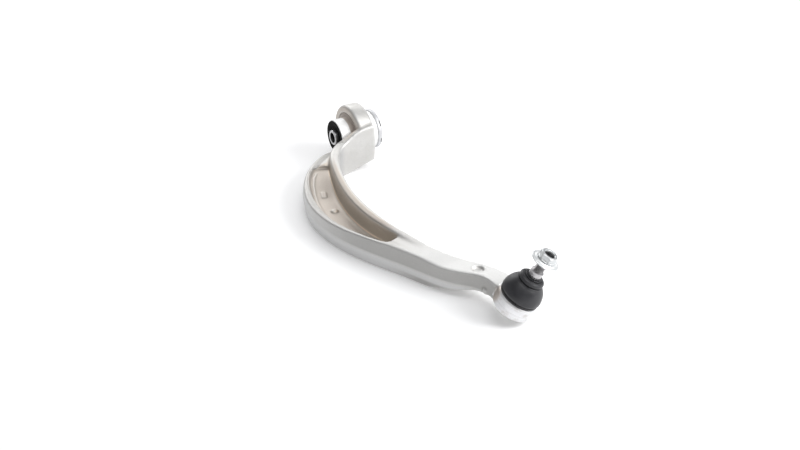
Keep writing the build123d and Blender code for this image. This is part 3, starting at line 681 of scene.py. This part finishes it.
# painted shade in the nut's bore below its top
tinted(nut_mat, lambda nt: math_node(nt, "MULTIPLY", span(nt, axis_mm(nt)[1], 6.1, 5.7, 0.0, 0.93), span(nt, axis_mm(nt)[0], 56.3, 55.5, 0.0, 1.0)), (0.06, 0.06, 0.062))

# ------------------------------------------------------------------ ball joint
arc = [(20.4 * math.cos(math.asin((t - 6.2) / 20.4)), t) for t in np.linspace(6.4, 21.4, 24)]
inner_arc = [(18.0 * math.cos(math.asin((t - 5.8) / 18.0)), t) for t in np.linspace(19.6, 6.2, 16)]
boot_rows = rounded([(16.7, 2.5, 0.2), (19.0, 1.75, 0.2), (19.55, 1.75, 0.2), (19.55, 2.3, 0.15), (18.6, 2.42, 0.1), (18.5, 4.3, 0.1),
                     (19.35, 4.45, 0.25), (19.78, 4.9, 0.3)]
                    + [(a, b, 0) for a, b in arc]
                    + [(13.2, 22.0, 0.4), (12.4, 22.3, 0.25), (11.4, 22.35, 0.2), (11.35, 23.1, 0.25), (12.7, 23.5, 0.4),
                       (12.6, 26.2, 0.7), (11.2, 27.5, 0.5), (9.0, 27.9, 0.3), (8.6, 27.4, 0.2), (8.6, 21.2, 0.3), (9.2, 20.4, 0.4)]
                    + [(a, b, 0) for a, b in inner_arc] + [(17.7, 4.9, 0.3), (16.7, 4.4, 0.3)], 0.3, 3)
boot = spin("boot_skin", boot_rows, STUD, 112, angle=50)
boot.data.materials.append(boot_mat)
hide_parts("dust_boot")
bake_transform(boot)

base_band = spin("boot_base_band", rounded([(18.55, 2.46), (19.72, 2.5), (19.95, 3.35), (19.72, 4.2), (18.55, 4.25)], 0.22, 3), STUD, 112)
dress(base_band, "arm", band_mat, "ring_steel", "boot_base_ring")

# coil of the spring ring in the boot's neck groove
coil = [(11.15 + 0.32 * math.cos(a), 22.5 + 0.38 * math.sin(a)) for a in np.linspace(0, 2 * math.pi, 12, endpoint=False)]
neck_ring = spin("boot_neck_coil", [((lambda th, r=r: r + 0.04 * np.cos(90 * th)), h) for r, h in coil], STUD, 180)
dress(neck_ring, "boot_neck", band_mat, "ring_steel", "boot_neck_ring")

slide = spin("boot_slide_lip", rounded([(6.6, 20.7), (8.1, 20.7), (8.1, 27.8), (8.7, 28.05), (8.8, 28.6), (7.6, 28.9), (6.6, 28.5)], 0.25, 3), STUD, 96)
dress(slide, "boot_neck", boot_mat, "ring_steel", "boot_slide_ring")


def stud_rows():
    rows = [(0.0, -9.6), (3.0, -9.6), (7.1, -9.6)]
    for t in np.linspace(-9.5, 10.2, 22):
        rows.append((math.sqrt(144 - t * t), t))
    rows += [(6.25, 10.6), (6.2, 12.0), (6.2, 14.0), (6.4, 16.0), (6.4, 20.0), (6.4, 24.8)]
    for hh in np.linspace(25.0, 31.4, 22):
        fade = float(smooth01((hh - 25.0) / 0.6) * smooth01((31.2 - hh) / 1.6))
        rows.append(((lambda th, f=fade, hh=hh: 6.42 - 0.62 * f * np.clip(np.cos(16 * th) * 1.6 - 0.2, 0, 1)), hh))
    rows += [(6.36, 31.8), (6.24, 33.4), (6.14, 34.3), (6.2, 34.45), (6.42, 34.6), (6.47, 34.8), (6.47, 35.4), (6.35, 35.65),
             (5.2, 36.05), (4.4, 36.3), (4.22, 36.6)]
    for hh in np.arange(36.7, 52.85, 0.125):
        fade = float(smooth01((hh - 36.7) / 1.2) * smooth01((53.0 - hh) / 0.9))

        def radius(th, hh=hh, fade=fade):
            p = (hh / 1.5 - th / (2 * math.pi)) % 1.0
            t = np.abs(2 * p - 1)
            return 4.08 + (4.9 - 4.08) * fade * (1 - np.clip((t - 0.12) / 0.74, 0, 1))
        rows.append((radius, hh))
    hexr = lambda th: 2.3 * math.cos(math.pi / 6) / np.cos(((th + math.pi / 6) % (math.pi / 3)) - math.pi / 6)
    rows += [(4.0, 53.0), (3.6, 53.1), (2.75, 53.1), (hexr, 52.8), (hexr, 51.0), (hexr, 49.0), (0.0, 48.4)]
    return rows


stud = spin("stud_turned", stud_rows(), STUD, 96, closed=False, angle=40)
dress(stud, "stud", stud_mat, "stud_steel", "ball_stud")

washer = spin("captive_washer", rounded([(5.45, 48.0, 0.2), (10.6, 48.05, 0.2), (13.3, 47.75, 0.3), (14.0, 48.05, 0.3), (14.0, 48.9, 0.35),
                                         (13.45, 49.35, 0.35), (11.6, 49.55, 0.6), (9.8, 50.36, 0.4), (5.45, 50.4, 0.2)], 0.3, 4), STUD, 128)
dress(washer, "washer", zinc_mat, "nut_zinc", "nut_washer")


def nut_rows():
    af = 16.0
    top, low = 57.4, 50.6
    rot = math.radians(12)

    def hexa(th):
        a = ((th - rot) % (math.pi / 3)) - math.pi / 6
        return np.minimum(af / 2 / np.cos(a), 9.02)
    rows = []
    rows.append((5.9, low))
    rows.append((8.6, low))
    rows.append((9.0, low + 0.15))
    rows.append((9.05, low + 0.55))
    rows.append((9.02, low + 0.95))
    rows.append(((lambda th: np.minimum(hexa(th) + 0.25, 9.0)), low + 1.25))
    rows.append(((lambda th: hexa(th) + 0.02), low + 1.6))
    for hh in np.linspace(low + 2.0, top - 2.0, 6):
        rows.append((hexa, hh))
    for f in np.linspace(0.08, 1.0, 12):
        hh = top - 2.0 + 2.0 * f
        cone = 9.35 - max(0.0, (hh - (top - 1.75))) * 1.05
        rows.append(((lambda th, c=cone: np.minimum(hexa(th), c)), hh))
    rows.append((7.2, top + 0.02))
    rows.append((6.5, top))
    rows.append((5.95, top - 0.05))
    for hh in np.arange(top - 0.5, low + 0.4, -0.16):
        def radius(th, hh=hh):
            p = (hh / 1.5 - th / (2 * math.pi)) % 1.0
            t = np.abs(2 * p - 1)
            lead = max(0.0, 1 - (top - 0.5 - hh) / 0.6)
            return 5.02 + 0.5 * np.clip((0.86 - t) / 0.74, 0, 1) + 0.4 * lead
        rows.append((radius, hh))
    rows.append((5.6, low + 0.25))
    return rows


nut = spin("collar_nut_hex", nut_rows(), STUD, 144, angle=28)
dress(nut, "nut", nut_mat, "nut_zinc", "collar_nut")

cap = spin("pressed_cap", rounded([(0, -12.25, 0), (17.1, -12.25), (17.15, -13.4), (12.6, -13.4), (10.8, -12.95), (7.0, -12.95), (5.6, -13.3), (0, -13.3, 0)],
                                  0.25, 3, closed=False), STUD, 112, closed=False)
dress(cap, "arm", cap_mat, "cap_steel", "closing_cap")

# ------------------------------------------------------------------ bush
can = spin("bush_can_turned", rounded([(18.2, -24.5, 0.2), (18.6, -25.0, 0.2), (20.2, -25.0, 0.3), (20.6, -24.4, 0.3), (20.6, -22.8, 0.15), (20.4, -22.5, 0.1),
                                       (20.4, -22.0, 0.1), (20.6, -21.7, 0.15), (20.6, -13.2, 0.8), (21.2, -10.4, 1.2), (22.0, -8.7, 0.5), (25.0, -8.2, 0.6),
                                       (26.0, -7.3, 0.5), (26.0, 10.7, 0.5), (24.5, 12.0, 0.8), (22.0, 12.4, 0.8), (22.0, 24.6, 0.2), (20.3, 24.6, 0.2),
                                       (20.3, 10.3, 0.2), (24.1, 10.1, 0.2), (24.1, -5.1, 0.2), (18.2, -5.1, 0.2)], 0.3, 4), BUSH, 144)
dress(can, "arm", can_mat, "can_metal", "bush_can")

TABS = [(46, 122), (-10, 27), (140, 190), (204, 262), (274, 336)]


def tab(th):
    deg = np.degrees(th) % 360
    on = np.zeros(len(th))
    for a, b in TABS:
        mid, half = (a + b) / 2, (b - a) / 2
        d = np.abs((deg - mid + 180) % 360 - 180)
        on = np.maximum(on, smooth01((half + 1.2 - d) / 2.4))
    return on


flange = spin("bush_flange_crimped", [(22.02, 21.9), (22.9, 21.8), (23.25, 22.05), (23.35, 22.4), (23.35, 24.6),
                                      ((lambda th: 23.35 + 0 * th), (lambda th: 24.9 + 1.1 * tab(th))),
                                      ((lambda th: 23.1 + 0 * th), (lambda th: 25.15 + 1.15 * tab(th))),
                                      ((lambda th: 22.4 - 0.6 * tab(th)), (lambda th: 25.2 + 1.15 * tab(th))),
                                      ((lambda th: 22.3 - 0.6 * tab(th)), (lambda th: 25.0 + 0.9 * tab(th))),
                                      (21.2, 24.7), (20.5, 24.65), (20.45, 24.62), (22.02, 24.6)], BUSH, 240, angle=45)
dress(flange, "arm", flange_mat, "flange_metal", "bush_flange_ring")

rub = spin("bush_rubber_moulded", rounded([(9.35, -24.4, 0.2), (10.4, -24.9, 0.3), (11.2, -23.9, 0.4), (12.4, -23.6, 0.5), (13.4, -24.5, 0.5), (15.8, -25.2, 0.6),
                                           (18.8, -25.6, 0.4), (19.6, -25.35, 0.2), (19.5, -25.05, 0.1), (18.5, -25.02, 0.1), (18.15, -24.6, 0.1), (18.15, -5.2, 0.3), (20.3, -5.2, 0.2), (20.3, 10.2, 0.2), (20.2, 23.4, 0.2),
                                           (20.2, 24.9, 0.2), (22.6, 25.3, 0.2), (23.3, 25.5, 0.2), (23.3, 26.2, 0.3), (22.6, 26.5, 0.2), (19.6, 25.6, 0.5), (15.6, 24.6, 0.8),
                                           (13.6, 23.4, 0.6), (11.6, 23.5, 0.5), (10.6, 24.6, 0.4), (9.35, 24.2, 0.2),
                                           (9.35, 17.4, 0.1), (11.0, 17.4, 0.1), (12.85, 12.4, 0.1), (12.85, -9.4, 0.1), (10.95, -14.4, 0.1), (9.35, -14.4, 0.1)],
                                          0.3, 4), BUSH, 144, angle=50)
dress(rub, "arm", bush_rubber_mat, "bush_rubber", "bush_rubber_body")


def rib(sign):
    return lambda th: sign * (28.28 + 0.22 * (np.cos(24 * th) > -0.2))


sleeve_rows = [(6.1, -27.9), (6.25, -28.15), (6.5, -28.3), (6.7, rib(-1)), (7.6, rib(-1)), (8.45, rib(-1)), (8.7, -28.15), (8.95, -27.8), (9.0, -27.4),
               (9.0, -20), (9.0, 0), (9.0, 20), (9.0, 27.4), (8.95, 27.8), (8.7, 28.15), (8.45, rib(1)), (7.6, rib(1)), (6.7, rib(1)), (6.5, 28.3),
               (6.25, 28.15), (6.1, 27.9), (6.1, 15), (6.1, 0), (6.1, -15)]
sleeve = spin("bolt_sleeve_ribbed", sleeve_rows, BUSH, 192, angle=40)
dress(sleeve, "bolt_core", sleeve_mat, "sleeve_steel", "bush_inner_sleeve")

# ------------------------------------------------------------------ hidden CAD parts keep their shape
for node, material in (("bush_inner_core", core_mat), ("bush_cage", inner_plastic), ("channel_shell_upper", inner_plastic),
                       ("channel_shell_lower", inner_plastic), ("chamber_seal_left", seal_mat), ("chamber_seal_right", seal_mat),
                       ("travel_stop_upper", seal_mat), ("travel_stop_lower", seal_mat), ("bearing_shell", shell_mat), ("preload_ring", ring_mat)):
    o = NODES[node]
    o.data.materials.clear()
    o.data.materials.append(material)

# ------------------------------------------------------------------ floor
low = cad_box[0][2] if not hasattr(cad_box, "keys") else 0
floor_me = bpy.data.meshes.new("studio_floor")
floor_me.from_pydata([(-6, -6, low), (6, -6, low), (6, 6, low), (-6, 6, low)], [], [(0, 1, 2, 3)])
floor = link(bpy.data.objects.new("studio_floor", floor_me))
m, nt, bsdf = tree("studio_white")
bsdf.inputs["Base Color"].default_value = (0.85, 0.85, 0.855, 1)
bsdf.inputs["Roughness"].default_value = 0.7
bsdf.inputs["Specular IOR Level"].default_value = 0.2
bsdf.inputs["Emission Color"].default_value = (1, 1, 1, 1)
bsdf.inputs["Emission Strength"].default_value = 0.21
floor_me.materials.append(m)


# ------------------------------------------------------------------ light
def softbox(name, at_, aim, size, watts, colour=(1, 1, 1)):
    d = bpy.data.lights.new(name, "AREA")
    d.shape = "RECTANGLE"
    d.size, d.size_y = size
    d.energy = watts
    d.color = colour
    o = link(bpy.data.objects.new(name, d))
    o.location = at_
    o.rotation_euler = (Vector(aim) - Vector(at_)).to_track_quat("-Z", "Y").to_euler()
    return o


centre = (0.24, -0.03, 0.0)
softbox("key_right", (0.95, 0.75, 0.72), centre, (0.8, 0.8), 16)
softbox("overhead", (0.75, 0.15, 1.9), centre, (1.4, 1.4), 14)
softbox("back_left", (-1.5, 0.95, 1.15), centre, (2.0, 1.3), 15.5)
softbox("fill_left", (-1.3, 0.05, 0.7), (0.1, -0.05, 0.0), (1.0, 0.8), 4)

world = bpy.data.worlds.new("studio_world")
bpy.context.scene.world = world
world.use_nodes = True
bg = world.node_tree.nodes.get("Background") or world.node_tree.nodes.new("ShaderNodeBackground")
bg.inputs["Color"].default_value = (0.97, 0.98, 1.0, 1)
bg.inputs["Strength"].default_value = 0.31

sc = bpy.context.scene
sc.view_settings.view_transform = "Standard"
sc.view_settings.look = "None"
